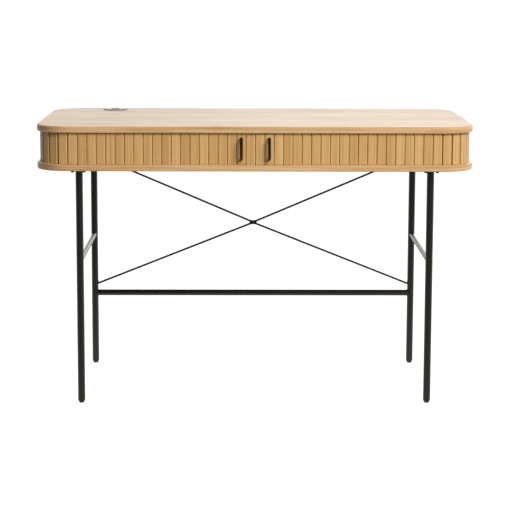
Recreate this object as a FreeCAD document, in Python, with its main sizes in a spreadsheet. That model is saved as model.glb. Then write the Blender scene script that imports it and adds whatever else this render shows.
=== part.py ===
"""Tambour desk: an oak case on a black tube frame, with two slatted doors that slide round its corners.

Millimetres. X runs along the front, Y from the front to the back, Z up from the floor.
"""
import FreeCAD, Part
import math
import os
import Sketcher

doc = FreeCAD.newDocument("tambour_desk")
sheet = doc.addObject("Spreadsheet::Sheet", "Sizes")
nodes = []

# Driving dimensions, one cell each
SIZES = {
    # Case
    "desk_width": 1200,
    "desk_depth": 600,
    "desk_height": 780,
    "corner_radius": 92,
    "panel_thickness": 18,
    "door_height": 86,
    "edge_bevel": 1.5,
    "overhang": 9,
    "cut_overrun": 5,
    # Tambour doors
    "front_slats": 20,
    "lead_slats": 6,
    "corner_slats": 4,
    "tail_slats": 3,
    "slat_thickness": 10,
    "slat_gap": 0.7,
    "slat_edge_round": 3,
    "slat_end_clearance": 0.5,
    "tongue_thickness": 5,
    "tongue_width": 15,
    "tongue_length": 6,
    "groove_clearance": 0.4,
    "groove_inner_room": 1.4,
    "groove_floor_clearance": 1,
    "canvas_thickness": 0.8,
    "canvas_end_margin": 6,
    # Fixed walls and inner boards
    "wall_thickness": 6,
    "wall_inset": 2.5,
    "wall_setback": 60,
    "board_thickness": 12,
    "partition_corner_gap": 10,
    "partition_front_gap": 20,
    "divider_front_gap": 60,
    # Legs
    "leg_diameter": 20,
    "leg_bore": 17,
    "leg_inset_x": 117,
    "leg_inset_y": 60,
    "plate_width": 50,
    "plate_length": 72,
    "plate_thickness": 3,
    "plate_corner": 8,
    "plate_screw_x": 15.5,
    "plate_screw_y": 26,
    "plate_screw_hole": 5,
    "plate_screw_head": 10.5,
    "plate_screw_head_height": 4.2,
    "plate_screw_length": 12,
    "glide_top": 19,
    "glide_bottom": 13,
    "glide_height": 7,
    "glide_spigot": 16.9,
    "glide_spigot_length": 15,
    # Frame between the legs
    "weld_gap": 0.1,
    "stretcher_diameter": 18,
    "stretcher_bore": 15,
    "stretcher_height": 219,
    "stub_length": 12,
    "stub_spigot": 14.9,
    "stub_spigot_length": 24,
    "stretcher_screw_head": 6,
    "stretcher_screw_head_height": 2,
    "stretcher_screw_shank": 3,
    "stretcher_screw_inset": 9,
    "side_rail_diameter": 14,
    "side_rail_height": 400,
    "rod_diameter": 6,
    "rod_bend": 30,
    "rod_meeting_height": 437,
    "rod_stretcher_gap": 25,
    "rod_top_drop": 12,
    # Door handles
    "handle_diameter": 8,
    "handle_height": 63,
    "handle_projection": 23,
    "handle_bend": 12,
    "handle_screw_diameter": 4,
    "handle_screw_head": 7,
    "handle_screw_head_height": 2.2,
    "handle_screw_depth": 9,
    "handle_screw_clearance": 0.2,
    # Cable grommet
    "grommet_inset_x": 183,
    "grommet_inset_y": 52,
    "grommet_flange": 72,
    "grommet_flange_height": 2.4,
    "grommet_sleeve": 60,
    "grommet_sleeve_depth": 17,
    "grommet_wall": 2,
    "grommet_hole_clearance": 0.3,
    "grommet_ledge": 2.5,
    "cap_thickness": 3,
    "cap_clearance": 0.05,
    "cap_seat_clearance": 0.1,
    "cap_slot_width": 22,
    "cap_slot_depth": 14,
    "cap_boss_diameter": 24,
    "cap_boss_height": 1.2,
}
for row, (alias, value) in enumerate(SIZES.items(), start=1):
    sheet.set(f"A{row}", alias)
    sheet.set(f"B{row}", str(value))
    sheet.setAlias(f"B{row}", alias)
doc.recompute()


def size(alias):
    """Value of one cell of the sheet."""
    return float(sheet.get(alias))


def bind(thing, **expressions):
    """Tie properties of an object to the sheet. A double underscore stands for a dot."""
    for name, text in expressions.items():
        thing.setExpression(name.replace("__", "."), text)
    return thing


def place(thing, x="0", y="0", z="0"):
    """Tie an object's position to the sheet."""
    return bind(thing, Placement__Base__x=x, Placement__Base__y=y, Placement__Base__z=z)


def turn(thing, axis, angle):
    """Turn an object about an axis through its own origin, in degrees."""
    thing.Placement = FreeCAD.Placement(thing.Placement.Base, FreeCAD.Rotation(axis, angle))
    return thing


def node(thing, label):
    """Name a finished sub-part, which is then written to its own file."""
    thing.Label = label
    nodes.append(thing)
    return thing


ALONG_X = FreeCAD.Vector(1, 0, 0)
ALONG_Y = FreeCAD.Vector(0, 1, 0)
ALONG_Z = FreeCAD.Vector(0, 0, 1)

# Lengths that follow from the sheet
BASE_UNDERSIDE = "(Sizes.desk_height - 2 * Sizes.panel_thickness - Sizes.door_height)"
BASE_TOP = "(Sizes.desk_height - Sizes.panel_thickness - Sizes.door_height)"
DOOR_MIDDLE = "(Sizes.desk_height - Sizes.panel_thickness - Sizes.door_height / 2)"
FRONT_RUN = "(Sizes.desk_width / 2 - Sizes.corner_radius)"
SIDE_RUN = "(Sizes.desk_depth / 2 - Sizes.corner_radius)"
PITCH = f"({FRONT_RUN} / Sizes.front_slats)"
PARTITION_X = f"({FRONT_RUN} - Sizes.partition_corner_gap - Sizes.board_thickness)"
LEG_X = "(Sizes.desk_width / 2 - Sizes.leg_inset_x)"
LEG_Y = "(Sizes.desk_depth / 2 - Sizes.leg_inset_y)"
GROMMET_X = "(Sizes.grommet_inset_x - Sizes.desk_width / 2)"
GROMMET_Y = "(Sizes.desk_depth / 2 - Sizes.grommet_inset_y)"
CANVAS_INSET = "(Sizes.overhang + Sizes.slat_thickness)"


# Shapes that several pieces share
def cylinder(name, radius, height, x="0", y="0", z="0"):
    thing = doc.addObject("Part::Cylinder", name)
    return place(bind(thing, Radius=radius, Height=height), x, y, z)


def board(name, length, width, height, x, y, z):
    """A plain board, from its low corner."""
    thing = doc.addObject("Part::Box", name)
    return place(bind(thing, Length=length, Width=width, Height=height), x, y, z)


def cut(base, tool):
    thing = doc.addObject("Part::Cut", base.Name + "_cut")
    thing.Base = base
    thing.Tool = tool
    return thing


def fuse(name, things):
    thing = doc.addObject("Part::MultiFuse", name)
    thing.Shapes = things
    return thing


def group(name, things):
    thing = doc.addObject("Part::Compound", name)
    thing.Links = things
    return thing


def mirrored(thing, normal):
    """The same piece on the other side of the desk's middle plane."""
    copy = doc.addObject("Part::Mirroring", thing.Name + "_mirrored")
    copy.Source = thing
    copy.Normal = normal
    return copy


def four_corners(name, thing):
    """One piece at each leg, from the piece at the rear right leg."""
    pair = group(name + "_pair", [thing, mirrored(thing, ALONG_X)])
    return group(name, [pair, mirrored(pair, ALONG_Y)])


def new_body(name):
    return doc.addObject("PartDesign::Body", name)


def plane(body, role):
    return next(part for part in body.Origin.OriginFeatures if part.Role == role)


def new_sketch(body, name, role="XY_Plane", **offset):
    """A sketch on one of the body's own planes, moved along it by sheet expressions."""
    sketch = body.newObject("Sketcher::SketchObject", name)
    sketch.AttachmentSupport = [(plane(body, role), "")]
    sketch.MapMode = "FlatFace"
    for axis, text in offset.items():
        sketch.setExpression(f"AttachmentOffset.Base.{axis}", text)
    return sketch


def add_rectangle(sketch, width, depth):
    """A rectangle centred on the sketch's origin."""
    corners = [FreeCAD.Vector(*point) for point in ((-1, -1), (1, -1), (1, 1), (-1, 1))]
    lines = [Part.LineSegment(corners[i], corners[(i + 1) % len(corners)]) for i in range(len(corners))]
    first = sketch.addGeometry(lines, False)[0]
    bottom, right, top, left = range(first, first + len(lines))
    for one, other in ((bottom, right), (right, top), (top, left), (left, bottom)):
        sketch.addConstraint(Sketcher.Constraint("Coincident", one, 2, other, 1))
    for line in (bottom, top):
        sketch.addConstraint(Sketcher.Constraint("Horizontal", line))
    for line in (right, left):
        sketch.addConstraint(Sketcher.Constraint("Vertical", line))
    sketch.addConstraint(Sketcher.Constraint("Symmetric", bottom, 1, top, 1, -1, 1))
    for name, kind, text in (("width", "DistanceX", width), ("depth", "DistanceY", depth)):
        line = bottom if kind == "DistanceX" else right
        index = sketch.addConstraint(Sketcher.Constraint(kind, line, 1, line, 2, 2))
        sketch.setExpression(f"Constraints[{index}]", text)


def add_rounded_rectangle(sketch, width, depth, radius):
    """A rectangle with round corners, centred on the sketch's origin."""
    half, reach = 2, 1
    ends = [((-reach, -half), (reach, -half)), ((half, -reach), (half, reach)),
            ((reach, half), (-reach, half)), ((-half, reach), (-half, -reach))]
    lines = [Part.LineSegment(FreeCAD.Vector(*a), FreeCAD.Vector(*b)) for a, b in ends]
    bottom, right, top, left = sketch.addGeometry(lines, False)
    arcs = []
    for quarter, (x, y) in enumerate(((1, -1), (1, 1), (-1, 1), (-1, -1))):
        circle = Part.Circle(FreeCAD.Vector(x * reach, y * reach), ALONG_Z, half - reach)
        start = (quarter - 1) * math.pi / 2
        arcs.append(sketch.addGeometry(Part.ArcOfCircle(circle, start, start + math.pi / 2), False))
    around = [bottom, arcs[0], right, arcs[1], top, arcs[2], left, arcs[3]]
    for one, other in zip(around, around[1:] + around[:1]):
        sketch.addConstraint(Sketcher.Constraint("Tangent", one, 2, other, 1))
    for arc in arcs[1:]:
        sketch.addConstraint(Sketcher.Constraint("Equal", arcs[0], arc))
    sketch.addConstraint(Sketcher.Constraint("Horizontal", bottom))
    sketch.addConstraint(Sketcher.Constraint("Vertical", right))
    sketch.addConstraint(Sketcher.Constraint("Symmetric", bottom, 1, top, 1, -1, 1))
    sketch.addConstraint(Sketcher.Constraint("Symmetric", bottom, 2, top, 2, -1, 1))
    dimensions = (
        (Sketcher.Constraint("DistanceX", left, 1, right, 1, 2 * half), width),
        (Sketcher.Constraint("DistanceY", bottom, 1, top, 1, 2 * half), depth),
        (Sketcher.Constraint("Radius", arcs[0], 1), radius),
    )
    for constraint, text in dimensions:
        index = sketch.addConstraint(constraint)
        sketch.setExpression(f"Constraints[{index}]", text)


def add_circle(sketch, diameter, x="0", y="0"):
    trial = 1
    circle = sketch.addGeometry(Part.Circle(FreeCAD.Vector(trial, trial), ALONG_Z, trial), False)
    dimensions = (
        (Sketcher.Constraint("Diameter", circle, 2 * trial), diameter),
        (Sketcher.Constraint("DistanceX", -1, 1, circle, 3, trial), x),
        (Sketcher.Constraint("DistanceY", -1, 1, circle, 3, trial), y),
    )
    for constraint, text in dimensions:
        index = sketch.addConstraint(constraint)
        sketch.setExpression(f"Constraints[{index}]", text)


def pad(body, sketch, length, symmetric=False):
    feature = body.newObject("PartDesign::Pad", sketch.Name + "_pad")
    feature.Profile = sketch
    feature.SideType = "Symmetric" if symmetric else "One side"
    return bind(feature, Length=length)


def pocket(body, sketch, depth, reverse=False, symmetric=False):
    feature = body.newObject("PartDesign::Pocket", sketch.Name + "_pocket")
    feature.Profile = sketch
    feature.Reversed = reverse
    feature.SideType = "Symmetric" if symmetric else "One side"
    return bind(feature, Length=depth)


def soften(kind, body, base, chosen, **size_of_edge):
    """Fillet or chamfer the edges of a feature for which chosen(edge) is true."""
    doc.recompute()
    names = [f"Edge{i}" for i, edge in enumerate(base.Shape.Edges, start=1) if chosen(edge)]
    feature = body.newObject(f"PartDesign::{kind}", f"{base.Name}_{kind}")
    feature.Base = (base, names)
    return bind(feature, **size_of_edge)


def is_upright(edge):
    low, high = edge.BoundBox.ZMin, edge.BoundBox.ZMax
    return math.isclose(edge.BoundBox.DiagonalLength, high - low, rel_tol=1e-6)


# Top and base panels, each with a groove that runs round under its overhang
def grooved_panel(label, groove_up):
    """A round-cornered panel. The groove is in its upper face, or else in its underside."""
    body = new_body(label)
    outline = new_sketch(body, label + "_outline")
    add_rounded_rectangle(outline, "Sizes.desk_width", "Sizes.desk_depth", "Sizes.corner_radius")
    slab = pad(body, outline, "Sizes.panel_thickness")
    soften("Chamfer", body, slab, lambda edge: not is_upright(edge), Size="Sizes.edge_bevel")
    face = "Sizes.panel_thickness" if groove_up else "0"
    track = new_sketch(body, label + "_track", z=face)
    tongue_middle = "Sizes.overhang + Sizes.slat_thickness / 2"
    outer = f"({tongue_middle} - Sizes.tongue_thickness / 2 - Sizes.groove_clearance)"
    inner = f"({tongue_middle} + Sizes.tongue_thickness / 2 + Sizes.groove_inner_room)"
    for inset in (outer, inner):
        add_rounded_rectangle(
            track,
            f"Sizes.desk_width - 2 * {inset}",
            f"Sizes.desk_depth - 2 * {inset}",
            f"Sizes.corner_radius - {inset}",
        )
    pocket(body, track, "Sizes.tongue_length + Sizes.groove_floor_clearance", reverse=not groove_up)
    return node(body, label)


top_panel = grooved_panel("top_panel", groove_up=False)
place(top_panel, z="Sizes.desk_height - Sizes.panel_thickness")
grommet_hole = new_sketch(top_panel, "grommet_hole", z="Sizes.panel_thickness")
add_circle(
    grommet_hole,
    "Sizes.grommet_sleeve + 2 * Sizes.grommet_hole_clearance",
    GROMMET_X,
    GROMMET_Y,
)
pocket(top_panel, grommet_hole, "Sizes.panel_thickness + Sizes.cut_overrun")

base_panel = grooved_panel("base_panel", groove_up=True)
place(base_panel, z=BASE_UNDERSIDE)

# Fixed oak walls that the doors slide behind, round the sides, the rear corners and the back
WALL_FACE_X = "(Sizes.desk_width / 2 - Sizes.wall_inset)"
WALL_FACE_Y = "(Sizes.desk_depth / 2 - Sizes.wall_inset)"
for label, low_x in (
    ("left_side_panel", f"-{WALL_FACE_X}"),
    ("right_side_panel", f"{WALL_FACE_X} - Sizes.wall_thickness"),
):
    node(
        board(
            label,
            "Sizes.wall_thickness",
            f"2 * {SIDE_RUN} - Sizes.wall_setback",
            "Sizes.door_height",
            low_x,
            f"Sizes.wall_setback - {SIDE_RUN}",
            BASE_TOP,
        ),
        label,
    )
for label, side, start in (("left_rear_corner", "-1", 90), ("right_rear_corner", "1", 0)):
    middle = (f"{side} * {FRONT_RUN}", SIDE_RUN, BASE_TOP)
    outer = "Sizes.corner_radius - Sizes.wall_inset"
    bent = turn(cylinder(label + "_outside", outer, "Sizes.door_height", *middle), ALONG_Z, start)
    bent.Angle = 90
    inside = cylinder(label + "_inside", f"{outer} - Sizes.wall_thickness", "Sizes.door_height", *middle)
    node(cut(bent, inside), label)
node(
    board(
        "back_panel",
        f"2 * {FRONT_RUN}",
        "Sizes.wall_thickness",
        "Sizes.door_height",
        f"-{FRONT_RUN}",
        f"{WALL_FACE_Y} - Sizes.wall_thickness",
        BASE_TOP,
    ),
    "back_panel",
)

# Boards inside the case: a partition beside each corner, and a divider in the middle
BOARD_BACK = f"({WALL_FACE_Y} - Sizes.wall_thickness)"
CANVAS_FACE = f"(Sizes.desk_depth / 2 - {CANVAS_INSET})"
for label, low_x, front_gap in (
    ("left_partition", f"-{PARTITION_X} - Sizes.board_thickness", "Sizes.partition_front_gap"),
    ("right_partition", PARTITION_X, "Sizes.partition_front_gap"),
    ("centre_divider", "-Sizes.board_thickness / 2", "Sizes.divider_front_gap"),
):
    node(
        board(
            label,
            "Sizes.board_thickness",
            f"{BOARD_BACK} + {CANVAS_FACE} - {front_gap}",
            "Sizes.door_height",
            low_x,
            f"{front_gap} - {CANVAS_FACE}",
            BASE_TOP,
        ),
        label,
    )

# Four tube legs, each on a screwed plate, with a plastic glide pressed into its foot
LEG_TOP = f"({BASE_UNDERSIDE} - Sizes.plate_thickness)"
for label, side_x, side_y in (
    ("front_left_leg", "-1", "-1"),
    ("front_right_leg", "1", "-1"),
    ("rear_left_leg", "-1", "1"),
    ("rear_right_leg", "1", "1"),
):
    axis = (f"{side_x} * {LEG_X}", f"{side_y} * {LEG_Y}", "Sizes.glide_height")
    length = f"{LEG_TOP} - Sizes.glide_height"
    tube = cylinder(label + "_tube", "Sizes.leg_diameter / 2", length, *axis)
    node(cut(tube, cylinder(label + "_bore", "Sizes.leg_bore / 2", length, *axis)), label)

plate = new_body("leg_plate")
plate_outline = new_sketch(plate, "plate_outline")
add_rounded_rectangle(plate_outline, "Sizes.plate_width", "Sizes.plate_length", "Sizes.plate_corner")
for side_x in ("-1", "1"):
    for side_y in ("-1", "1"):
        hole = (f"{side_x} * Sizes.plate_screw_x", f"{side_y} * Sizes.plate_screw_y")
        add_circle(plate_outline, "Sizes.plate_screw_hole", *hole)
pad(plate, plate_outline, "Sizes.plate_thickness")
place(plate, LEG_X, LEG_Y, LEG_TOP)
node(four_corners("leg_plates_group", plate), "leg_plates")


def pan_screw(name, head, head_height, shank, length):
    """A screw that points up, with a tapered head below its own origin."""
    cap = doc.addObject("Part::Cone", name + "_head")
    bind(cap, Radius1=f"{head} / 2 - {head_height} / 4", Radius2=f"{head} / 2", Height=head_height)
    place(cap, z=f"-{head_height}")
    stem = cylinder(name + "_stem", f"{shank} / 2", length)
    return fuse(name, [cap, stem])


plate_screws = []
for side_x in ("-1", "1"):
    for side_y in ("-1", "1"):
        screw = pan_screw(
            f"plate_screw_{len(plate_screws)}",
            "Sizes.plate_screw_head",
            "Sizes.plate_screw_head_height",
            "(Sizes.plate_screw_hole - 2 * Sizes.weld_gap)",
            "Sizes.plate_screw_length",
        )
        place(
            screw,
            f"{LEG_X} + {side_x} * Sizes.plate_screw_x",
            f"{LEG_Y} + {side_y} * Sizes.plate_screw_y",
            LEG_TOP,
        )
        plate_screws.append(screw)
node(four_corners("leg_plate_screws_group", group("plate_screw_set", plate_screws)), "leg_plate_screws")

glide_foot = doc.addObject("Part::Cone", "glide_foot")
bind(glide_foot, Radius1="Sizes.glide_bottom / 2", Radius2="Sizes.glide_top / 2", Height="Sizes.glide_height")
glide_spigot = cylinder(
    "glide_spigot",
    "Sizes.glide_spigot / 2",
    "Sizes.glide_spigot_length",
    z="Sizes.glide_height",
)
glide = place(fuse("glide", [glide_foot, glide_spigot]), LEG_X, LEG_Y)
node(four_corners("leg_glides_group", glide), "leg_glides")


# Rails, stretcher and crossed rods that brace the legs, coped to the tubes they are welded to
def coped(rail, side_pairs):
    """Cut a rail back from the legs that it runs into, by the gap of its weld."""
    sockets = [
        cylinder(
            f"{rail.Name}_cope_{i}",
            "Sizes.leg_diameter / 2 + Sizes.weld_gap",
            LEG_TOP,
            f"{side_x} * {LEG_X}",
            f"{side_y} * {LEG_Y}",
        )
        for i, (side_x, side_y) in enumerate(side_pairs)
    ]
    return cut(rail, group(rail.Name + "_copes", sockets))


for label, side in (("left_side_rail", "-1"), ("right_side_rail", "1")):
    rail = turn(
        cylinder(
            label + "_bar",
            "Sizes.side_rail_diameter / 2",
            f"2 * {LEG_Y}",
            f"{side} * {LEG_X}",
            f"-{LEG_Y}",
            "Sizes.side_rail_height",
        ),
        ALONG_X,
        -90,
    )
    node(coped(rail, [(side, "-1"), (side, "1")]), label)

STUB_END = f"({LEG_X} - Sizes.leg_diameter / 2 - Sizes.stub_length)"
stub_spigot_end = f"({STUB_END} - Sizes.stub_spigot_length)"
stub = turn(
    cylinder(
        "stub_collar",
        "Sizes.stretcher_diameter / 2",
        f"{LEG_X} - {STUB_END}",
        STUB_END,
        LEG_Y,
        "Sizes.stretcher_height",
    ),
    ALONG_Y,
    90,
)
spigot = turn(
    cylinder(
        "stub_spigot",
        "Sizes.stub_spigot / 2",
        f"{LEG_X} - {stub_spigot_end}",
        stub_spigot_end,
        LEG_Y,
        "Sizes.stretcher_height",
    ),
    ALONG_Y,
    90,
)
screw_x = f"({STUB_END} - Sizes.stretcher_screw_inset)"


def stretcher_drill(name, diameter):
    """A drilling from the back, through the stretcher's rear wall to the middle of its stub."""
    drill = cylinder(
        name,
        f"{diameter} / 2",
        "Sizes.stretcher_diameter / 2 + Sizes.cut_overrun",
        screw_x,
        LEG_Y,
        "Sizes.stretcher_height",
    )
    return turn(drill, ALONG_X, -90)


SCREW_HOLE = "(Sizes.stretcher_screw_shank + 2 * Sizes.weld_gap)"
coped_stub = coped(fuse("stub", [stub, spigot]), [("1", "1")])
drilled_stub = cut(coped_stub, stretcher_drill("stub_drill", SCREW_HOLE))
node(group("stretcher_stubs_group", [drilled_stub, mirrored(drilled_stub, ALONG_X)]), "stretcher_stubs")

stretcher_tube = [
    turn(
        cylinder(
            name,
            f"{diameter} / 2",
            f"2 * {STUB_END}",
            f"-{STUB_END}",
            LEG_Y,
            "Sizes.stretcher_height",
        ),
        ALONG_Y,
        90,
    )
    for name, diameter in (
        ("stretcher_outside", "Sizes.stretcher_diameter"),
        ("stretcher_bore", "Sizes.stretcher_bore"),
    )
]
drill = stretcher_drill("stretcher_drill", SCREW_HOLE)
drill_pair = group("stretcher_drills", [drill, mirrored(drill, ALONG_X)])
node(cut(cut(*stretcher_tube), drill_pair), "back_stretcher")

stretcher_screw = turn(
    pan_screw(
        "stretcher_screw",
        "Sizes.stretcher_screw_head",
        "Sizes.stretcher_screw_head_height",
        "Sizes.stretcher_screw_shank",
        "Sizes.stretcher_diameter / 2",
    ),
    ALONG_X,
    90,
)
place(
    stretcher_screw,
    screw_x,
    f"{LEG_Y} + Sizes.stretcher_diameter / 2",
    "Sizes.stretcher_height",
)
screw_pair = [stretcher_screw, mirrored(stretcher_screw, ALONG_X)]
node(group("stretcher_screws_group", screw_pair), "stretcher_screws")

# Two rods bent at their middle and welded back to back there, which brace the rear legs
ROD_LOW = "(Sizes.stretcher_height + Sizes.rod_stretcher_gap)"
ROD_HIGH = f"({LEG_TOP} - Sizes.rod_top_drop)"
ROD_OFFSET = "(Sizes.rod_diameter + Sizes.weld_gap) / 2"


def rod_path(label, side, middle, end):
    """Sketch of half a rod's middle line: an arc from the middle of the desk and a straight run to the leg."""
    sketch = doc.addObject("Sketcher::SketchObject", label)
    sketch.Placement.Rotation = FreeCAD.Rotation(ALONG_X, 90)
    place(sketch, "0", LEG_Y)
    bend = size("rod_bend")
    height = size("rod_meeting_height")
    centre = FreeCAD.Vector(0, height + side * bend)
    turned = math.pi / 8
    angles = sorted((-side * math.pi / 2, side * (turned - math.pi / 2)))
    arc = sketch.addGeometry(Part.ArcOfCircle(Part.Circle(centre, ALONG_Z, bend), *angles), False)
    run = FreeCAD.Vector(size("desk_width") / 2, height + side * size("desk_width") / 5)
    line = sketch.addGeometry(Part.LineSegment(FreeCAD.Vector(bend, height), run), False)
    inner, outer = (1, 2) if side > 0 else (2, 1)
    sketch.addConstraint(Sketcher.Constraint("PointOnObject", arc, 3, -2))
    sketch.addConstraint(Sketcher.Constraint("PointOnObject", arc, inner, -2))
    sketch.addConstraint(Sketcher.Constraint("Tangent", arc, outer, line, 1))
    dimensions = (
        (Sketcher.Constraint("Radius", arc, bend), "Sizes.rod_bend"),
        (Sketcher.Constraint("DistanceY", -1, 1, arc, inner, height), middle),
        (Sketcher.Constraint("DistanceX", -1, 1, line, 2, run.x), LEG_X),
        (Sketcher.Constraint("DistanceY", -1, 1, line, 2, run.y), end),
    )
    for constraint, expression in dimensions:
        index = sketch.addConstraint(constraint)
        sketch.setExpression(f"Constraints[{index}]", expression)
    return sketch


for label, side, end in (("upper_brace_rod", 1, ROD_HIGH), ("lower_brace_rod", -1, ROD_LOW)):
    middle = f"Sizes.rod_meeting_height + {side} * {ROD_OFFSET}"
    path = rod_path(label + "_path", side, middle, end)
    section = bind(doc.addObject("Part::Circle", label + "_section"), Radius="Sizes.rod_diameter / 2")
    turn(place(section, "0", LEG_Y, middle), ALONG_Y, 90)
    half = doc.addObject("Part::Sweep", label + "_half")
    half.Sections = [section]
    half.Spine = (path, ["Edge1", "Edge2"])
    half.Solid = True
    whole = fuse(label + "_whole", [half, mirrored(half, ALONG_X)])
    node(coped(whole, [("-1", "1"), ("1", "1")]), label)


# Tambour doors: oak slats glued side by side on a canvas, which follow the groove round the corner
front_run = size("desk_width") / 2 - size("corner_radius")
side_run = size("desk_depth") / 2 - size("corner_radius")
canvas_radius = size("corner_radius") - size("overhang") - size("slat_thickness")
corner_run = canvas_radius * math.pi / 2
pitch = front_run / size("front_slats")
door_middle = size("desk_height") - size("panel_thickness") - size("door_height") / 2
slats_in_door = int(size("front_slats") + size("corner_slats") + size("tail_slats"))


def on_track(run):
    """Point of the right door's track, on the canvas face, a given run from the middle of the desk."""
    if run <= front_run:
        return FreeCAD.Vector(run, -side_run - canvas_radius, door_middle)
    if run <= front_run + corner_run:
        angle = (run - front_run) / canvas_radius
        reach = FreeCAD.Vector(math.sin(angle), -math.cos(angle), 0) * canvas_radius
        return FreeCAD.Vector(front_run, -side_run, door_middle) + reach
    along = run - front_run - corner_run
    return FreeCAD.Vector(front_run + canvas_radius, along - side_run, door_middle)


def hinge_runs():
    """Runs of the folds between slats: each slat spans one pitch from fold to fold, straight across."""
    runs = [i * pitch for i in range(int(size("front_slats")) + 1)]
    halvings = 40
    while len(runs) <= slats_in_door:
        start = on_track(runs[-1])
        low, high = runs[-1], runs[-1] + pitch * math.pi / 2
        for _ in range(halvings):
            middle = (low + high) / 2
            if (on_track(middle) - start).Length < pitch:
                low = middle
            else:
                high = middle
        runs.append(high)
    return runs


folds = [on_track(run) for run in hinge_runs()]


def slat_place(number, side):
    """Placement of one slat, counted from the middle of the desk: side is -1 for the left door."""
    start, end = folds[number - 1], folds[number]
    middle = (start + end) / 2
    angle = math.degrees(math.atan2(end.y - start.y, end.x - start.x))
    return FreeCAD.Placement(
        FreeCAD.Vector(side * middle.x, middle.y, middle.z),
        FreeCAD.Rotation(ALONG_Z, side * angle),
    )


def slats(label, first, last, side):
    """A straight run of slats, each with a tongue at its two ends, as separate solids of one node."""
    count = last - first + 1
    body = new_body(label)
    body.AllowCompound = True
    section = new_sketch(body, label + "_section", y="-Sizes.slat_thickness / 2")
    add_rectangle(section, f"{PITCH} - Sizes.slat_gap", "Sizes.slat_thickness")
    stave = pad(body, section, "Sizes.door_height - 2 * Sizes.slat_end_clearance", symmetric=True)
    front = -size("slat_thickness") / 2
    soften(
        "Fillet",
        body,
        stave,
        lambda edge: is_upright(edge) and edge.CenterOfMass.y < front,
        Radius="Sizes.slat_edge_round",
    )
    tongue = new_sketch(body, label + "_tongue", y="-Sizes.slat_thickness / 2")
    add_rectangle(tongue, "Sizes.tongue_width", "Sizes.tongue_thickness")
    tip = pad(body, tongue, "Sizes.door_height + 2 * Sizes.tongue_length", symmetric=True)
    if count > 1:
        doc.recompute()
        row = body.newObject("PartDesign::LinearPattern", label + "_row")
        row.TransformMode = "Whole shape"
        row.Direction = (plane(body, "X_Axis"), [""])
        row.Occurrences = count
        bind(row, Length=f"{PITCH} * {count - 1}")
        tip = row
    body.Tip = tip
    body.Placement = slat_place(last, side)
    if side > 0:
        along = body.Placement.Rotation.multVec(ALONG_X)
        body.Placement.Base -= along * (pitch * (count - 1))
    return body


def canvas(label, side):
    """The cloth behind one door, flat behind each slat and folded between slats."""
    half_gap = size("slat_gap") / 2
    path = list(folds)
    path[0] = path[0] + (path[1] - path[0]).normalize() * half_gap
    path[-1] = path[-1] + (path[-2] - path[-1]).normalize() * half_gap
    steps = [(end - start).normalize() for start, end in zip(path, path[1:])]
    inner = []
    for point, before, after in zip(path, steps[:1] + steps, steps + steps[-1:]):
        inward = ALONG_Z.cross(before) + ALONG_Z.cross(after)
        inner.append(point + inward * (size("canvas_thickness") / (1 + before.dot(after))))
    drop = size("door_height") / 2 - size("canvas_end_margin")
    around = [FreeCAD.Vector(side * p.x, p.y, p.z - drop) for p in path + inner[::-1]]
    cloth = Part.Face(Part.makePolygon(around + around[:1])).extrude(ALONG_Z * (2 * drop))
    for height in HANDLE_SCREW_HEIGHTS:
        eye = FreeCAD.Vector(side * handle_x, folds[0].y - size("cut_overrun"), height)
        radius = size("handle_screw_head") / 2 + size("handle_screw_clearance")
        cloth = cloth.cut(Part.makeCylinder(radius, 2 * size("cut_overrun"), eye, ALONG_Y))
    thing = doc.addObject("Part::Feature", label)
    thing.Shape = cloth
    return thing


# Each handle is on the second slat of its door
HANDLE_SLAT = 2
HANDLE_REACH = "(Sizes.handle_height / 2 - Sizes.handle_diameter / 2)"
HANDLE_X = f"({PITCH} * {HANDLE_SLAT - 1} + {PITCH} / 2)"
SLAT_FACE = "(Sizes.desk_depth / 2 - Sizes.overhang)"
handle_x = pitch * (HANDLE_SLAT - 1) + pitch / 2
handle_reach = size("handle_height") / 2 - size("handle_diameter") / 2
HANDLE_SCREW_HEIGHTS = (door_middle - handle_reach, door_middle + handle_reach)


def drill_for_handle(lead, hand, side):
    """Drill the two screw holes through the handle's slat."""
    steps = HANDLE_SLAT - 1 if side > 0 else int(size("lead_slats")) - HANDLE_SLAT
    holes = new_sketch(lead, f"{hand}_handle_holes", role="XZ_Plane")
    for height in (f"-{HANDLE_REACH}", HANDLE_REACH):
        diameter = "Sizes.handle_screw_diameter + 2 * Sizes.handle_screw_clearance"
        add_circle(holes, diameter, f"{PITCH} * {steps}", height)
    pocket(lead, holes, "2 * (Sizes.slat_thickness + Sizes.cut_overrun)", symmetric=True)


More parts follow.
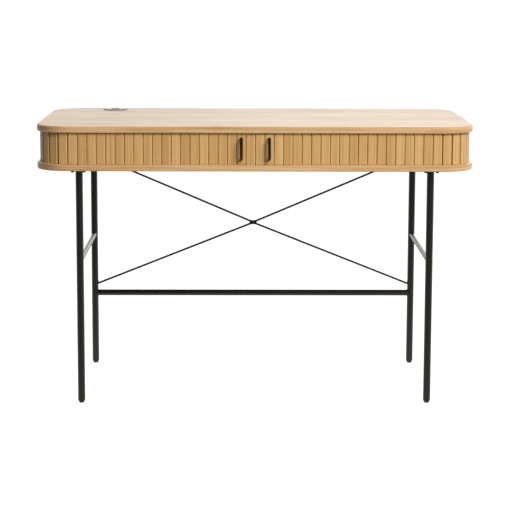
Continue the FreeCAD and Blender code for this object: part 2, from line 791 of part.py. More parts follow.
def bow_handle(label, side):
    """A round bar bent into a bow, drilled at both ends for its screws."""
    x = f"{side} * {HANDLE_X}"
    stand = "(Sizes.handle_projection - Sizes.handle_diameter / 2 - Sizes.handle_bend)"
    bends = {
        "-1": FreeCAD.Rotation(-ALONG_Z, -ALONG_Y, -ALONG_X, "ZXY"),
        "1": FreeCAD.Rotation(-ALONG_Y, ALONG_Z, -ALONG_X, "ZXY"),
    }
    pieces = []
    drills = []
    for end, rotation in bends.items():
        height = f"{DOOR_MIDDLE} + {end} * {HANDLE_REACH}"
        at = (x, f"-{SLAT_FACE}", height)
        post = cylinder(f"{label}_post_{len(pieces)}", "Sizes.handle_diameter / 2", stand, *at)
        bend = doc.addObject("Part::Torus", f"{label}_bend_{len(pieces)}")
        bind(bend, Radius1="Sizes.handle_bend", Radius2="Sizes.handle_diameter / 2")
        bend.Angle3 = 90
        bend.Placement.Rotation = rotation
        place(bend, x, f"-{SLAT_FACE} - {stand}", f"{height} - {end} * Sizes.handle_bend")
        pieces += [turn(post, ALONG_X, 90), bend]
        radius = "Sizes.handle_screw_diameter / 2 + Sizes.handle_screw_clearance"
        depth = "Sizes.handle_screw_depth + Sizes.handle_screw_clearance"
        drills.append(turn(cylinder(f"{label}_drill_{len(drills)}", radius, depth, *at), ALONG_X, 90))
    bar_low = f"{DOOR_MIDDLE} - {HANDLE_REACH} + Sizes.handle_bend"
    bar_length = f"2 * ({HANDLE_REACH} - Sizes.handle_bend)"
    bar_at = (x, f"-{SLAT_FACE} - {stand} - Sizes.handle_bend", bar_low)
    pieces.append(cylinder(f"{label}_bar", "Sizes.handle_diameter / 2", bar_length, *bar_at))
    return cut(fuse(f"{label}_bow", pieces), group(f"{label}_drills", drills))


def handle_screws(label, side):
    """The two screws that hold a handle, put in from behind the slat."""
    pair = []
    for end in ("-1", "1"):
        screw = pan_screw(
            f"{label}_{len(pair)}",
            "Sizes.handle_screw_head",
            "Sizes.handle_screw_head_height",
            "Sizes.handle_screw_diameter",
            "Sizes.slat_thickness + Sizes.handle_screw_depth",
        )
        turn(screw, ALONG_X, 90)
        height = f"{DOOR_MIDDLE} + {end} * {HANDLE_REACH}"
        pair.append(place(screw, f"{side} * {HANDLE_X}", f"-{CANVAS_FACE}", height))
    return group(label + "_pair", pair)


FRONT = int(size("front_slats"))
LEAD = int(size("lead_slats"))
CORNER = int(size("corner_slats"))
for hand, side in (("left", -1), ("right", 1)):
    lead = node(slats(f"{hand}_lead_slats", 1, LEAD, side), f"{hand}_lead_slats")
    drill_for_handle(lead, hand, side)
    for number in range(LEAD + 1, LEAD + CORNER + 1):
        label = f"{hand}_turning_slat_{number - LEAD}"
        node(slats(label, number, number, side), label)
    label = f"{hand}_front_slats"
    node(slats(label, LEAD + CORNER + 1, FRONT, side), label)
    for number in range(FRONT + 1, FRONT + CORNER + 1):
        label = f"{hand}_corner_slat_{number - FRONT}"
        node(slats(label, number, number, side), label)
    label = f"{hand}_tail_slats"
    node(slats(label, FRONT + CORNER + 1, slats_in_door, side), label)
    node(canvas(f"{hand}_canvas", side), f"{hand}_canvas")
    node(bow_handle(f"{hand}_handle", side), f"{hand}_handle")
    node(handle_screws(f"{hand}_handle_screws", side), f"{hand}_handle_screws")

# Cable grommet: a flanged liner in the top, and a slotted cap that turns on the liner's ledge
AT_GROMMET = (GROMMET_X, GROMMET_Y)
SLEEVE_FOOT = "(Sizes.desk_height - Sizes.grommet_sleeve_depth)"
FLANGE_TOP = "(Sizes.desk_height + Sizes.grommet_flange_height)"
CAP_SEAT = f"({FLANGE_TOP} - Sizes.cap_thickness - Sizes.cap_seat_clearance)"
CAP_WELL = "(Sizes.grommet_sleeve / 2 - Sizes.grommet_wall)"
flange = cylinder(
    "grommet_flange",
    "Sizes.grommet_flange / 2",
    "Sizes.grommet_flange_height",
    *AT_GROMMET,
    "Sizes.desk_height",
)
sleeve = cylinder(
    "grommet_sleeve",
    "Sizes.grommet_sleeve / 2",
    f"{FLANGE_TOP} - {SLEEVE_FOOT}",
    *AT_GROMMET,
    SLEEVE_FOOT,
)
well = cylinder("cap_well", CAP_WELL, f"{FLANGE_TOP} - {CAP_SEAT}", *AT_GROMMET, CAP_SEAT)
throat = cylinder(
    "grommet_throat",
    f"{CAP_WELL} - Sizes.grommet_ledge",
    f"{FLANGE_TOP} - {SLEEVE_FOOT}",
    *AT_GROMMET,
    SLEEVE_FOOT,
)
liner = cut(fuse("grommet_outside", [flange, sleeve]), fuse("grommet_inside", [well, throat]))
node(liner, "grommet_liner")

CAP_FOOT = f"({CAP_SEAT} + Sizes.cap_seat_clearance)"
CAP_RADIUS = f"({CAP_WELL} - Sizes.cap_clearance)"
cap_disc = cylinder("cap_disc", CAP_RADIUS, "Sizes.cap_thickness", *AT_GROMMET, CAP_FOOT)
cap_boss = cylinder(
    "cap_boss",
    "Sizes.cap_boss_diameter / 2",
    "Sizes.cap_thickness + Sizes.cap_boss_height",
    *AT_GROMMET,
    CAP_FOOT,
)
cap_slot = board(
    "cap_slot",
    "Sizes.cap_slot_width",
    "Sizes.cap_slot_depth + Sizes.cut_overrun",
    "Sizes.cap_thickness",
    f"{GROMMET_X} - Sizes.cap_slot_width / 2",
    f"{GROMMET_Y} + {CAP_RADIUS} - Sizes.cap_slot_depth",
    CAP_FOOT,
)
node(cut(fuse("cap_outside", [cap_disc, cap_boss]), cap_slot), "grommet_cap")

# Writing each sub-part to its own file
doc.recompute()
failed = [thing.Label for thing in doc.Objects if {"Invalid", "Error"} & set(thing.State)]
assert not failed, f"failed features: {failed}"
for thing in nodes:
    assert not thing.Shape.isNull() and thing.Shape.isValid(), f"bad shape: {thing.Label}"
os.makedirs("parts", exist_ok=True)
for thing in nodes:
    thing.Shape.exportStep(f"parts/{thing.Label}.step")
    print(thing.Label, len(thing.Shape.Solids), round(thing.Shape.Volume))
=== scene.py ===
"""Tambour desk: an oak case on a black tube frame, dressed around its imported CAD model.

Metres, Z up, front at -Y.
"""
import math
import random

import bmesh
import bpy
from mathutils import Matrix, Vector


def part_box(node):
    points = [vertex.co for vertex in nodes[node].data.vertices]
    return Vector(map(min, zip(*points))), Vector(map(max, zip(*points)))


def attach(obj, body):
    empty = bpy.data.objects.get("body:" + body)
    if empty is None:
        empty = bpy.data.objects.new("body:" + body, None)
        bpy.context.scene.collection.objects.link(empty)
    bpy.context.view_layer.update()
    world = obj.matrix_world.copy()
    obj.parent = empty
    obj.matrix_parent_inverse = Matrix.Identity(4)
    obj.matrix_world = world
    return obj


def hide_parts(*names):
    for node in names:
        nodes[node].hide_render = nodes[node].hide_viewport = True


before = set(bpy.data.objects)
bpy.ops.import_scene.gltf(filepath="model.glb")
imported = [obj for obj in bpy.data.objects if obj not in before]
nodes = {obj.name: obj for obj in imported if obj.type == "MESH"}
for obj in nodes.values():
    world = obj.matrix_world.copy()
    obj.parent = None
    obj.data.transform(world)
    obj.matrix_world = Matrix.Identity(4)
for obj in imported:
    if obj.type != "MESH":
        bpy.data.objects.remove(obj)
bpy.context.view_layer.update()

# Top and base panel: two rounded boards, the lower one carrying the case and the upper one closing
# it. Each is chipboard with oak veneer pressed on both faces and an oak band ironed round its edge,
# eased with a small bevel and finished in clear matt lacquer.
MM = 0.001


def linear(colour):
    """Linear RGBA of an sRGB hex colour."""
    channels = [int(colour[place:place + 2], 16) / 255 for place in (1, 3, 5)]
    return [c / 12.92 if c <= 0.04045 else ((c + 0.055) / 1.055) ** 2.4 for c in channels] + [1.0]


def add_node(tree, kind, settings=None, **links):
    """Add a shader node with its settings.

    A link's name is the input's name, or its number after an underscore. Its value is an output
    socket or a plain value.
    """
    made = tree.nodes.new("ShaderNode" + kind)
    for name, value in (settings or {}).items():
        setattr(made, name, value)
    for name, value in links.items():
        socket = made.inputs[int(name[1:]) if name[1:].isdigit() else name.replace("_", " ")]
        if isinstance(value, bpy.types.NodeSocket):
            tree.links.new(value, socket)
        else:
            socket.default_value = value
    return made


def new_material(name):
    """An empty node material with its shader joined to the output."""
    material = bpy.data.materials.new(name)
    material.use_nodes = True
    tree = material.node_tree
    tree.nodes.clear()
    shader = add_node(tree, "BsdfPrincipled")
    add_node(tree, "OutputMaterial", Surface=shader.outputs["BSDF"])
    return material, tree, shader


def oak(tree, shader, grain, streak_length, colours, roughness):
    """Lacquered oak: broad tone, growth-ring bands and open pores, all drawn out along the grain.

    grain is a place in metres with the grain along X, and streak_length says how many times longer
    than wide a streak is. The colours are pale, middle and dark, the roughness lowest and highest.
    """
    tone_width = 70 * MM
    ring_width = 7 * MM
    # Real pores are about 0.3 mm wide, drawn at 1.3 mm so that they show
    pore_width = 1.3 * MM
    layers = []
    for width, detail, distortion in ((tone_width, 2.0, 0.0), (ring_width, 3.0, 0.4),
                                      (pore_width, 1.0, 0.0)):
        drawn = add_node(tree, "VectorMath", {"operation": "MULTIPLY"}, _0=grain,
                         _1=(1 / (streak_length * width), 1 / width, 1 / width))
        noise = add_node(tree, "TexNoise", Vector=drawn.outputs[0], Scale=1.0, Detail=detail,
                         Distortion=distortion)
        layers.append(noise.outputs["Fac"])
    tone, rings, pores = layers

    pale, middle, dark = (linear(colour) for colour in colours)
    early_wood, mid_wood, late_wood = 0.30, 0.52, 0.72
    ramp = add_node(tree, "ValToRGB", Fac=rings)
    ramp.color_ramp.elements[0].position = early_wood
    ramp.color_ramp.elements[0].color = pale
    ramp.color_ramp.elements[1].position = late_wood
    ramp.color_ramp.elements[1].color = dark
    ramp.color_ramp.elements.new(mid_wood).color = middle
    tone_share = 0.55
    toned = add_node(tree, "Mix", {"data_type": "RGBA", "blend_type": "SOFT_LIGHT"}, _0=tone_share,
                     _6=ramp.outputs[0], _7=tone)

    pore_rim, pore_floor = 0.58, 0.70
    pore_shade_share = 0.34
    pit_depth = 0.12 * MM
    pore_depth = add_node(tree, "MapRange", {"interpolation_type": "SMOOTHSTEP"}, Value=pores, _1=pore_rim,
                          _2=pore_floor)
    pore_shade = add_node(tree, "Math", {"operation": "MULTIPLY"}, _0=pore_depth.outputs[0],
                          _1=pore_shade_share)
    base = add_node(tree, "Mix", {"data_type": "RGBA"}, _0=pore_shade.outputs[0], _6=toned.outputs[2],
                    _7=dark)
    tree.links.new(base.outputs[2], shader.inputs["Base Color"])

    noise_low, noise_high = 0.3, 0.7
    dull = add_node(tree, "MapRange", Value=rings, _1=noise_low, _2=noise_high, _3=roughness[0],
                    _4=roughness[1])
    tree.links.new(dull.outputs[0], shader.inputs["Roughness"])
    pits = add_node(tree, "Math", {"operation": "MULTIPLY"}, _0=pore_depth.outputs[0], _1=-1.0)
    bump = add_node(tree, "Bump", Strength=0.35, Distance=pit_depth, Height=pits.outputs[0])
    tree.links.new(bump.outputs[0], shader.inputs["Normal"])
    shader.inputs["IOR"].default_value = 1.5


# Lacquered veneer gives the eye pale bands with fine dark pores under an even, silky sheen. The
# grain runs along the desk on the faces and round the rim on the edge band: the pattern turns from
# one to the other where the surface turns upright.
veneer, tree, shader = new_material("oak_veneer_matt_lacquer")
where = add_node(tree, "TexCoord")
turned = add_node(tree, "SeparateXYZ", Vector=where.outputs["Normal"])
flatness = add_node(tree, "Math", {"operation": "ABSOLUTE"}, _0=turned.outputs["Z"])
least_flatness = 0.7
is_face = add_node(tree, "Math", {"operation": "GREATER_THAN"}, _0=flatness.outputs[0], _1=least_flatness)
spot = add_node(tree, "SeparateXYZ", Vector=where.outputs["Object"])
round_rim = add_node(tree, "Math", {"operation": "SUBTRACT"}, _0=spot.outputs["X"], _1=spot.outputs["Y"])
rim_grain = add_node(tree, "CombineXYZ", X=round_rim.outputs[0], Y=0.0, Z=spot.outputs["Z"])
grain = add_node(tree, "Mix", {"data_type": "VECTOR"}, _0=is_face.outputs[0], _4=rim_grain.outputs[0],
                 _5=where.outputs["Object"])
oak(tree, shader, grain.outputs[1], streak_length=34, colours=("#DFBA8D", "#D2A877", "#BA8E5B"),
    roughness=(0.32, 0.42))


def dress(names, material):
    """Give CAD nodes a material in place of the plain one they came with."""
    for name in names:
        nodes[name].data.materials.clear()
        nodes[name].data.materials.append(material)


dress(("top_panel", "base_panel"), veneer)

# Fixed walls and inner boards: the thin back, the bent rear corners and the ends behind the doors'
# travel, and the two partitions and the divider of the compartments. They are veneered boards
# held in the grooves of the two panels, with the grain level.
dress(("left_side_panel", "right_side_panel", "left_rear_corner", "right_rear_corner", "back_panel",
       "left_partition", "right_partition", "centre_divider"), veneer)

# Tambour slats: straight oak sticks with rounded front edges, standing side by side, each with a
# tongue at both ends that runs in the grooves of the panels. They are sawn from solid oak with the
# grain upright.
hands = ("left", "right")
# The groups of slats in a door, each with the body that carries it
body_of_slats = {f"{run}_slats": run for run in ("lead", "front", "tail")}
for bend in ("turning", "corner"):
    for number in (1, 2, 3, 4):
        body_of_slats[f"{bend}_slat_{number}"] = f"{bend}_{number}"

# Slats cut from different planks give the eye a slightly different tone and figure on each.
slat_oak, tree, shader = new_material("oak_slats_matt_lacquer")
where = add_node(tree, "TexCoord")
spot = add_node(tree, "SeparateXYZ", Vector=where.outputs["Object"])
upright_grain = add_node(tree, "CombineXYZ", X=spot.outputs["Z"], Y=spot.outputs["X"], Z=spot.outputs["Y"])
own_tone = add_node(tree, "Attribute", {"attribute_name": "slat_tone"})
# Metres from one plank's figure to another's, along the grain and across it
plank_offset = (1.7, 2.3, 3.1)
own_plank = add_node(tree, "VectorMath", {"operation": "SCALE"}, _0=plank_offset,
                     Scale=own_tone.outputs["Fac"])
own_grain = add_node(tree, "VectorMath", {"operation": "ADD"}, _0=upright_grain.outputs[0],
                     _1=own_plank.outputs[0])
oak(tree, shader, own_grain.outputs[0], streak_length=60, colours=("#D7AE72", "#CFA467", "#BE9259"),
    roughness=(0.38, 0.50))

# The rounded arris is painted paler as a painted highlight, and the sides in the gap between two slats
# are painted darker as painted shade. The limits are cosines of the angle that the surface makes with
# the slat's front.
painted_highlight_begins, painted_highlight_full = 0.98, 0.85
painted_shade_begins, painted_shade_full = 0.75, 0.25
painted_highlight_gain = 0.2
painted_shade_loss = -0.5
darkest_slat, palest_slat = 0.94, 1.0
slat_front = add_node(tree, "Attribute", {"attribute_name": "slat_front"})
facing = add_node(tree, "VectorMath", {"operation": "DOT_PRODUCT"}, _0=where.outputs["Normal"],
                  _1=slat_front.outputs["Vector"])
# Painted highlight: the rounded edge of each slat is painted paler than its front.
painted_highlight = add_node(tree, "MapRange", {"interpolation_type": "SMOOTHSTEP"}, Value=facing.outputs["Value"],
                 _1=painted_highlight_begins, _2=painted_highlight_full)
# Painted shade: the sides in the gap between two slats are painted darker.
painted_gap_shade = add_node(tree, "MapRange", {"interpolation_type": "SMOOTHSTEP"}, Value=facing.outputs["Value"],
                     _1=painted_shade_begins, _2=painted_shade_full)
lightness = add_node(tree, "MapRange", Value=own_tone.outputs["Fac"], _3=darkest_slat, _4=palest_slat)
# Adds the painted highlight to each slat's own random tone.
tone_with_painted_highlight = add_node(tree, "Math", {"operation": "MULTIPLY_ADD"}, _0=painted_highlight.outputs[0], _1=painted_highlight_gain,
                 _2=lightness.outputs[0])
# Takes the painted shade off the tone where the surface turns into the gap between slats.
tone_with_painted_light = add_node(tree, "Math", {"operation": "MULTIPLY_ADD"}, _0=painted_gap_shade.outputs[0], _1=painted_shade_loss,
                  _2=tone_with_painted_highlight.outputs[0])
even_oak = shader.inputs["Base Color"].links[0].from_socket
shaded = add_node(tree, "HueSaturation", Color=even_oak, Value=tone_with_painted_light.outputs[0])
tree.links.new(shaded.outputs[0], shader.inputs["Base Color"])


def loose_pieces(shape):
    """The separate pieces of a bmesh, each a list of vertices."""
    unseen = set(shape.verts)
    found = []
    while unseen:
        edge = [unseen.pop()]
        piece = []
        while edge:
            vert = edge.pop()
            piece.append(vert)
            for link in vert.link_edges:
                other = link.other_vert(vert)
                if other in unseen:
                    unseen.remove(other)
                    edge.append(other)
        found.append(piece)
    return found


def back_of(slat):
    """The outward normal and the tangent of the slats' broad back, the largest of their upright faces."""
    upright_limit = 0.01
    area = {}
    for face in slat.polygons:
        if abs(face.normal.z) < upright_limit:
            key = tuple(round(c, 3) for c in face.normal)
            area[key] = area.get(key, 0.0) + face.area
    normal = Vector(max(area, key=area.get)).normalized()
    return normal, normal.cross(Vector((0, 0, 1)))


def finish_piece(shape, name, material, body, smooth=True):
    """Turn a bmesh into a piece of the desk that rides on a body."""
    for face in shape.faces:
        face.smooth = smooth
    mesh = bpy.data.meshes.new(name)
    shape.to_mesh(mesh)
    shape.free()
    piece = bpy.data.objects.new(name, mesh)
    bpy.context.scene.collection.objects.link(piece)
    mesh.materials.append(material)
    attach(piece, body)
    return piece


# Each group of slats is a copy of its CAD node, whose flat facets are merged so that long thin
# triangles don't bend the shading.
merge_distance = 0.001 * MM
flat_angle = math.radians(0.2)
sharp_angle = math.radians(35)
tone_seed = 27
tones = random.Random(tone_seed)
for hand in hands:
    for place, body in body_of_slats.items():
        node = f"{hand}_{place}"
        shape = bmesh.new()
        shape.from_mesh(nodes[node].data)
        bmesh.ops.remove_doubles(shape, verts=shape.verts, dist=merge_distance)
        bmesh.ops.dissolve_limit(shape, angle_limit=flat_angle, verts=shape.verts, edges=shape.edges)
        tone = shape.verts.layers.float.new("slat_tone")
        front = shape.verts.layers.float_vector.new("slat_front")
        back, _ = back_of(nodes[node].data)
        for vert in shape.verts:
            vert[front] = -back
        slats = loose_pieces(shape)
        for slat in sorted(slats, key=lambda verts: sum(v.co.x + v.co.y for v in verts) / len(verts)):
            value = tones.random()
            for vert in slat:
                vert[tone] = value
        piece = finish_piece(shape, f"{node}_oak", slat_oak, f"{hand}_{body}")
        piece.data.set_sharp_from_angle(angle=sharp_angle)
        even = piece.modifiers.new("even_shading", "WEIGHTED_NORMAL")
        even.keep_sharp = True
        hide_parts(node)

# Door canvas: a strip of woven cotton glued across the back of the slats, which is what lets a door
# of stiff sticks bend round the corners. It is cut here where one rigid run of slats ends, so that
# each length follows its own slats.
canvas_low, canvas_high = (corner.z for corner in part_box("left_canvas"))
canvas_height = canvas_high - canvas_low
canvas_thickness = 0.8 * MM
canvas_step = 12 * MM
glue_gap = 0.05 * MM

# Plain weave gives the eye a dull beige with a fine grid of threads and a faint fuzz.
canvas, tree, shader = new_material("cotton_canvas_plain_weave")
where = add_node(tree, "UVMap")
# Real threads are 0.6 mm apart, drawn at 1.6 mm so that the weave shows
thread_gap = 1.6 * MM
thread_height = 0.2 * MM
# The wave texture repeats over this length at a scale of 1
wave_at_scale_one = math.tau / 20
threads = []
for direction in ("X", "Y"):
    wave = add_node(tree, "TexWave", {"bands_direction": direction}, Vector=where.outputs[0],
                    Scale=wave_at_scale_one / thread_gap, Distortion=0.4)
    threads.append(wave.outputs["Fac"])
weave = add_node(tree, "Math", {"operation": "MAXIMUM"}, _0=threads[0], _1=threads[1])
cloth = add_node(tree, "Mix", {"data_type": "RGBA"}, _0=weave.outputs[0], _6=linear("#6B5B45"),
                 _7=linear("#8E7C60"))
tree.links.new(cloth.outputs[2], shader.inputs["Base Color"])
bump = add_node(tree, "Bump", Strength=0.5, Distance=thread_height, Height=weave.outputs[0])
tree.links.new(bump.outputs[0], shader.inputs["Normal"])
shader.inputs["Roughness"].default_value = 0.9
shader.inputs["Sheen Weight"].default_value = 0.2

for hand in hands:
    for place, body in body_of_slats.items():
        slat = bpy.data.objects[f"{hand}_{place}_oak"].data
        normal, tangent = back_of(slat)
        run = [tangent.dot(vert.co) for vert in slat.vertices]
        back = max(normal.dot(vert.co) for vert in slat.vertices)
        width = max(run) - min(run)
        shape = bmesh.new()
        uv = shape.loops.layers.uv.new("weave")
        bmesh.ops.create_grid(shape, x_segments=round(width / canvas_step),
                              y_segments=round(canvas_height / canvas_step), size=0.5)
        for face in shape.faces:
            for loop in face.loops:
                loop[uv].uv = (loop.vert.co.x * width, loop.vert.co.y * canvas_height)
        turn = Matrix((tangent, Vector((0, 0, 1)), normal)).transposed().to_4x4()
        centre = tangent * (max(run) + min(run)) / 2 + normal * (back + glue_gap)
        centre.z = (canvas_low + canvas_high) / 2
        size = Matrix.Diagonal((width, canvas_height, 1.0, 1.0))
        bmesh.ops.transform(shape, matrix=Matrix.Translation(centre) @ turn @ size, verts=shape.verts)
        bmesh.ops.recalc_face_normals(shape, faces=shape.faces)
        bmesh.ops.solidify(shape, geom=shape.faces[:], thickness=canvas_thickness)
        shape.normal_update()
        piece = finish_piece(shape, f"{hand}_{body}_canvas_strip", canvas, f"{hand}_{body}",
                             smooth=False)
        if body == "lead":
            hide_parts(f"{hand}_canvas")


# Door handles: one bow of round steel bar on the second slat of each door, bent twice and held by
# two screws from behind. The bar is powder coated.
def mottle(tree, shader, grain_width, colours, roughness, relief=None, cloud_width=None, detail=2.0):
    """Fine grain of a coat, a plating or a moulding, in its gloss, its colour and its bump.

    The colours go from dark to light over the grain, or over broader clouds where a width is given
    for them. relief is the bump's strength and height.
    """
    where = add_node(tree, "TexCoord")
    grain = add_node(tree, "TexNoise", Vector=where.outputs["Object"], Scale=1 / grain_width, Detail=detail)
    gloss = add_node(tree, "MapRange", Value=grain.outputs["Fac"], _3=roughness[0], _4=roughness[1])
    tree.links.new(gloss.outputs[0], shader.inputs["Roughness"])
    if relief:
        bump = add_node(tree, "Bump", Strength=relief[0], Distance=relief[1], Height=grain.outputs["Fac"])
        tree.links.new(bump.outputs[0], shader.inputs["Normal"])
    cloud = grain
    if cloud_width:
        cloud = add_node(tree, "TexNoise", Vector=where.outputs["Object"], Scale=1 / cloud_width,
                         Detail=detail)
    dark, light = (linear(colour) for colour in colours)
    shade = add_node(tree, "Mix", {"data_type": "RGBA"}, _0=cloud.outputs["Fac"], _6=dark, _7=light)
    tree.links.new(shade.outputs[2], shader.inputs["Base Color"])


# A smooth satin coat gives the eye a deep black with soft highlights, broken by faint orange peel
# about 2 mm from crest to crest.
satin_black, tree, shader = new_material("satin_black_powder_coat")
mottle(tree, shader, grain_width=2 * MM, colours=("#050504", "#070706"), roughness=(0.26, 0.36),
       relief=(0.15, 0.05 * MM), detail=1.0)
shader.inputs["IOR"].default_value = 1.5
dress([f"{hand}_handle" for hand in hands], satin_black)

# Screws: the black ones hold the leg plates to the base panel and lock the stretcher, and the zinc
# plated ones hold the handles from behind. All are turned steel with pan heads.

# Black oxide gives the eye a dark, half metallic surface with dull blotches.
black_screw, tree, shader = new_material("black_oxide_steel")
mottle(tree, shader, grain_width=1.5 * MM, colours=("#232221", "#31302E"), roughness=(0.34, 0.52))
shader.inputs["Metallic"].default_value = 0.7
dress(("leg_plate_screws", "stretcher_screws"), black_screw)

# Zinc plating gives the eye a bright grey metal with a spangle, drawn at 1 mm, coarser than the real
# one, so that it shows.
zinc_screw, tree, shader = new_material("zinc_plated_steel")
mottle(tree, shader, grain_width=1 * MM, colours=("#AEACA3", "#C3C1BA"), roughness=(0.22, 0.4))
shader.inputs["Metallic"].default_value = 1.0
dress([f"{hand}_handle_screws" for hand in hands], zinc_screw)

# Frame: four round steel legs welded to plates, a rail across each pair, a stretcher behind and two
# crossed rods that brace it. The tubes are welded, then powder coated together.

# The textured coat gives the eye a warm black whose fine grit breaks up the highlights. Real grit is
# about 0.3 mm, drawn at 1.2 mm so that it shows in a close view.
powder_coat, tree, shader = new_material("black_textured_powder_coat")
mottle(tree, shader, grain_width=1.2 * MM, colours=("#120F08", "#19160E"), roughness=(0.26, 0.38),
       relief=(0.25, 0.08 * MM), cloud_width=60 * MM)
shader.inputs["IOR"].default_value = 1.5
dress(("front_left_leg", "front_right_leg", "rear_left_leg", "rear_right_leg", "leg_plates",
       "left_side_rail", "right_side_rail", "stretcher_stubs", "back_stretcher", "upper_brace_rod",
       "lower_brace_rod"), powder_coat)

# Weld beads: the small rippled seams that join the rails, stubs and rods to the legs, the legs to
# their plates and the two rods to each other. They are laid by hand and coated with the frame.
leg_low, leg_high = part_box("rear_right_leg")
leg_radius = (leg_high.x - leg_low.x) / 2
leg_x = (leg_high.x + leg_low.x) / 2
leg_y = (leg_high.y + leg_low.y) / 2
rail_low, rail_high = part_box("right_side_rail")
rail_radius = (rail_high.z - rail_low.z) / 2
rail_height = (rail_low.z + rail_high.z) / 2
stub_low, stub_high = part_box("stretcher_stubs")
stub_radius = (stub_high.z - stub_low.z) / 2
stub_height = (stub_low.z + stub_high.z) / 2
upper_low, upper_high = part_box("upper_brace_rod")
lower_low, lower_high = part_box("lower_brace_rod")
rod_radius = (upper_high.y - upper_low.y) / 2
rail_bead = 1.3 * MM
plate_bead = 1.4 * MM
plate_bead_drop = 0.4 * MM
stub_bead = 1.4 * MM
rod_bead = 1.0 * MM
bead_merge = 0.01 * MM
bead_sides = 8
bead_steps = 40
ripples = 20
ripple_share = 0.15


def weld_bead(name, start, along, tube_radius, bead_radius, on_leg=True):
    """A bead round a tube that leaves the middle of a leg at start, laid on the leg's round wall."""
    along = along.normalized()
    side = along.orthogonal().normalized()
    across = along.cross(side)
    shape = bmesh.new()
    ring = bmesh.ops.create_circle(shape, segments=bead_sides, radius=bead_radius)["verts"]
    turn = Matrix((side, along, side.cross(along))).transposed().to_4x4()
    bmesh.ops.transform(shape, matrix=Matrix.Translation(start + side * tube_radius) @ turn, verts=ring)
    bmesh.ops.spin(shape, geom=shape.edges[:], cent=start, axis=along, angle=math.tau, steps=bead_steps,
                   use_merge=True)
    bmesh.ops.remove_doubles(shape, verts=shape.verts, dist=bead_merge)
    for vert in shape.verts:
        offset = vert.co - start
        out = offset - along * offset.dot(along)
        angle = math.atan2(out.dot(across), out.dot(side))
        foot = out.normalized() * tube_radius
        vert.co += (out - foot) * ripple_share * math.sin(angle * ripples)
        if on_leg:
            # How far along the tube its wall meets the leg's, from the quadratic for a line and a circle
            flat = foot.xy
            lean = along.xy
            a = lean.dot(lean)
            b = 2 * flat.dot(lean)
            c = flat.dot(flat) - leg_radius ** 2
            vert.co += along * (math.sqrt(b * b - 4 * a * c) - b) / (2 * a)
    bmesh.ops.recalc_face_normals(shape, faces=shape.faces)
    return finish_piece(shape, name, powder_coat, "case")


rod_heights = {"upper": (upper_high.z - rod_radius, upper_low.z),
               "lower": (lower_low.z + rod_radius, lower_high.z)}
for hand, side in (("left", -1), ("right", 1)):
    for row, depth in (("front", -1), ("rear", 1)):
        rail_start = Vector((side * leg_x, depth * leg_y, rail_height))
        weld_bead(f"{row}_{hand}_rail_weld", rail_start, Vector((0, -depth, 0)), rail_radius, rail_bead)
        leg_top = Vector((side * leg_x, depth * leg_y, leg_high.z - plate_bead_drop))
        weld_bead(f"{row}_{hand}_plate_weld", leg_top, Vector((0, 0, 1)), leg_radius, plate_bead,
                  on_leg=False)
    stub_start = Vector((side * leg_x, leg_y, stub_height))
    weld_bead(f"{hand}_stub_weld", stub_start, Vector((-side, 0, 0)), stub_radius, stub_bead)
    for rod, (end_height, crossing_height) in rod_heights.items():
        rod_start = Vector((side * leg_x, leg_y, end_height))
        crossing = Vector((0, leg_y, crossing_height))
        weld_bead(f"{hand}_{rod}_rod_weld", rod_start, crossing - rod_start, rod_radius, rod_bead)

# The crossing weld fills the two grooves where the rods lie back to back.
crossing_half = 12 * MM
crossing_depth_share = 0.95
crossing_height_share = 0.8
crossing_ripple_share = 0.06
shape = bmesh.new()
bmesh.ops.create_uvsphere(shape, u_segments=24, v_segments=32, radius=1.0)
bmesh.ops.rotate(shape, matrix=Matrix.Rotation(math.pi / 2, 3, "Y"), verts=shape.verts)
for vert in shape.verts:
    vert.co.yz *= 1 + crossing_ripple_share * math.sin(vert.co.x * ripples)
bmesh.ops.scale(shape, vec=(crossing_half, rod_radius * crossing_depth_share,
                            rod_radius * crossing_height_share), verts=shape.verts)
bmesh.ops.translate(shape, vec=(0.0, leg_y, (upper_low.z + lower_high.z) / 2), verts=shape.verts)
finish_piece(shape, "rod_crossing_weld", powder_coat, "case")

# Leg glides: small moulded feet of black polypropylene, pressed into the open ends of the legs so
# that the tube doesn't scratch the floor.

# Polypropylene gives the eye a dull, slightly waxy black. Its mould texture is about 0.2 mm, drawn at
# 0.8 mm so that it shows in a close view.
glide_plastic, tree, shader = new_material("black_polypropylene")
mottle(tree, shader, grain_width=0.8 * MM, colours=("#191919", "#1F1F1F"), roughness=(0.45, 0.6),
       relief=(0.2, 0.04 * MM))
dress(("leg_glides",), glide_plastic)

# Cable grommet: a black ABS liner pressed into the hole in the top, with a loose cap that turns to
# let a lead out of its slot. Both are moulded with a fine sand texture.

# Textured ABS gives the eye a charcoal that turns bright where it mirrors the light at a low angle. Its
# sand texture is about 0.2 mm, drawn at 0.7 mm so that it shows in a close view.
grommet_plastic, tree, shader = new_material("black_abs_fine_texture")
mottle(tree, shader, grain_width=0.7 * MM, colours=("#36332F", "#3E3B37"), roughness=(0.20, 0.30),
       relief=(0.3, 0.05 * MM))
dress(("grommet_liner", "grommet_cap"), grommet_plastic)

# Studio: a wide sweep of white paper under glowing walls, and two soft boxes in front at the right.
# The large key light throws the handles' shadows down to the left and isn't mirrored itself, and
# the smaller fill light below it gives the front its sheen.
floor_half = 150.0
sweep, tree, shader = new_material("white_paper_sweep")
shader.inputs["Base Color"].default_value = linear("#8C8C8A")
shader.inputs["Roughness"].default_value = 0.9
shader.inputs["Specular IOR Level"].default_value = 0.0
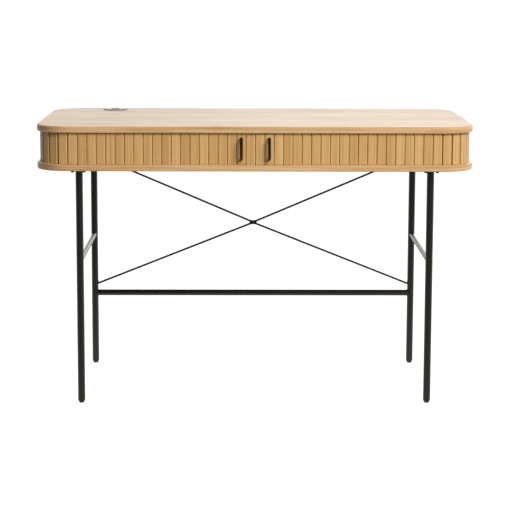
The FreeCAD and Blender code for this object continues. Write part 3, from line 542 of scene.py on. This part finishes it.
# Paper gives the eye pure white, and a warmer white where the desk mirrors it, dim in front of the
# desk and bright behind.
seen = add_node(tree, "LightPath")
paper = add_node(tree, "Mix", {"data_type": "RGBA"}, _0=seen.outputs["Is Camera Ray"], _6=linear("#FFF7EC"),
                 _7=linear("#FFFFFF"))
tree.links.new(paper.outputs[2], shader.inputs["Emission Color"])
front_edge, rear_edge = -1.5, 0.8
front_glow, rear_glow = 0.12, 1.0
where = add_node(tree, "TexCoord")
spot = add_node(tree, "SeparateXYZ", Vector=where.outputs["Object"])
mirrored = add_node(tree, "MapRange", {"interpolation_type": "SMOOTHSTEP"}, Value=spot.outputs["Y"],
                    _1=front_edge, _2=rear_edge, _3=front_glow, _4=rear_glow)
glossy = add_node(tree, "Math", {"operation": "MULTIPLY"}, _0=seen.outputs["Is Glossy Ray"],
                  _1=mirrored.outputs[0])
glow = add_node(tree, "Math", {"operation": "ADD"}, _0=seen.outputs["Is Camera Ray"], _1=glossy.outputs[0])
tree.links.new(glow.outputs[0], shader.inputs["Emission Strength"])
shape = bmesh.new()
bmesh.ops.create_grid(shape, x_segments=1, y_segments=1, size=floor_half)
mesh = bpy.data.meshes.new("floor")
shape.to_mesh(mesh)
shape.free()
floor = bpy.data.objects.new("floor", mesh)
bpy.context.scene.collection.objects.link(floor)
mesh.materials.append(sweep)

# The walls glow in a low band behind the desk, brighter to the right, which the top mirrors. The
# limits are parts of a unit vector that points at the wall.
behind_begins, behind_full = 0.0, 0.5
band_ends, band_full = 0.65, 0.3
left_limit, right_limit = -0.6, 0.4
left_share, right_share = 0.2, 1.4
dim_wall, bright_wall, seen_wall = 0.08, 2.2, 1.2
world = bpy.data.worlds.new("white_studio")
bpy.context.scene.world = world
world.use_nodes = True
tree = world.node_tree
tree.nodes.clear()
where = add_node(tree, "TexCoord")
aim = add_node(tree, "SeparateXYZ", Vector=where.outputs["Generated"])
behind = add_node(tree, "MapRange", {"interpolation_type": "SMOOTHSTEP"}, Value=aim.outputs["Y"],
                  _1=behind_begins, _2=behind_full)
low = add_node(tree, "MapRange", {"interpolation_type": "SMOOTHSTEP"}, Value=aim.outputs["Z"], _1=band_ends,
               _2=band_full)
rightward = add_node(tree, "MapRange", Value=aim.outputs["X"], _1=left_limit, _2=right_limit,
                     _3=left_share, _4=right_share)
band = add_node(tree, "Math", {"operation": "MULTIPLY"}, _0=behind.outputs[0], _1=low.outputs[0])
sided = add_node(tree, "Math", {"operation": "MULTIPLY"}, _0=band.outputs[0], _1=rightward.outputs[0])
lit = add_node(tree, "MapRange", Value=sided.outputs[0], _3=dim_wall, _4=bright_wall)
seen = add_node(tree, "LightPath")
strength = add_node(tree, "Mix", {"data_type": "FLOAT"}, _0=seen.outputs["Is Camera Ray"],
                    _2=lit.outputs[0], _3=seen_wall)
wall = add_node(tree, "Background", Color=linear("#FCFFFC"), Strength=strength.outputs[0])
add_node(tree, "OutputWorld", Surface=wall.outputs[0])


def soft_box(name, spot, target, width, power):
    """A square area light at a spot, aimed at a target."""
    light = bpy.data.lights.new(name, "AREA")
    light.size = width
    light.energy = power
    lamp = bpy.data.objects.new(name, light)
    lamp.location = spot
    lamp.rotation_euler = (Vector(target) - Vector(spot)).to_track_quat("-Z", "Y").to_euler()
    bpy.context.scene.collection.objects.link(lamp)
    return lamp


door_centre = (0.0, -0.29, 0.72)
key = soft_box("key_light", spot=(2.5, -4.2, 3.9), target=door_centre, width=3.0, power=330)
key.visible_glossy = False
soft_box("fill_light", spot=(1.8, -4.0, 2.3), target=door_centre, width=2.4, power=30)

# Camera: at the height of a standing person's chest, about 4.8 m away with a long lens, its frame
# shifted down so that the desk keeps its place in the picture. Picture width, focal length and shift
# are in pixels, angles in radians.
picture_width = 512
focal_length = 1681.6
shift_down = 50
eye_place = (-0.0514, -4.8276, 1.2104)
tilt_down = 0.14183
swing = -0.01183
roll = 0.00329
lens = bpy.data.cameras.new("photograph")
lens.sensor_width = 36
lens.lens = focal_length * lens.sensor_width / picture_width
lens.shift_y = -shift_down / picture_width
lens.clip_end = 500
camera = bpy.data.objects.new("photograph", lens)
camera.matrix_world = (Matrix.Translation(eye_place) @ Matrix.Rotation(swing, 4, "Z")
                       @ Matrix.Rotation(math.pi / 2 - tilt_down, 4, "X") @ Matrix.Rotation(roll, 4, "Z"))
bpy.context.scene.collection.objects.link(camera)
bpy.context.scene.camera = camera
bpy.context.scene.view_settings.view_transform = "Standard"
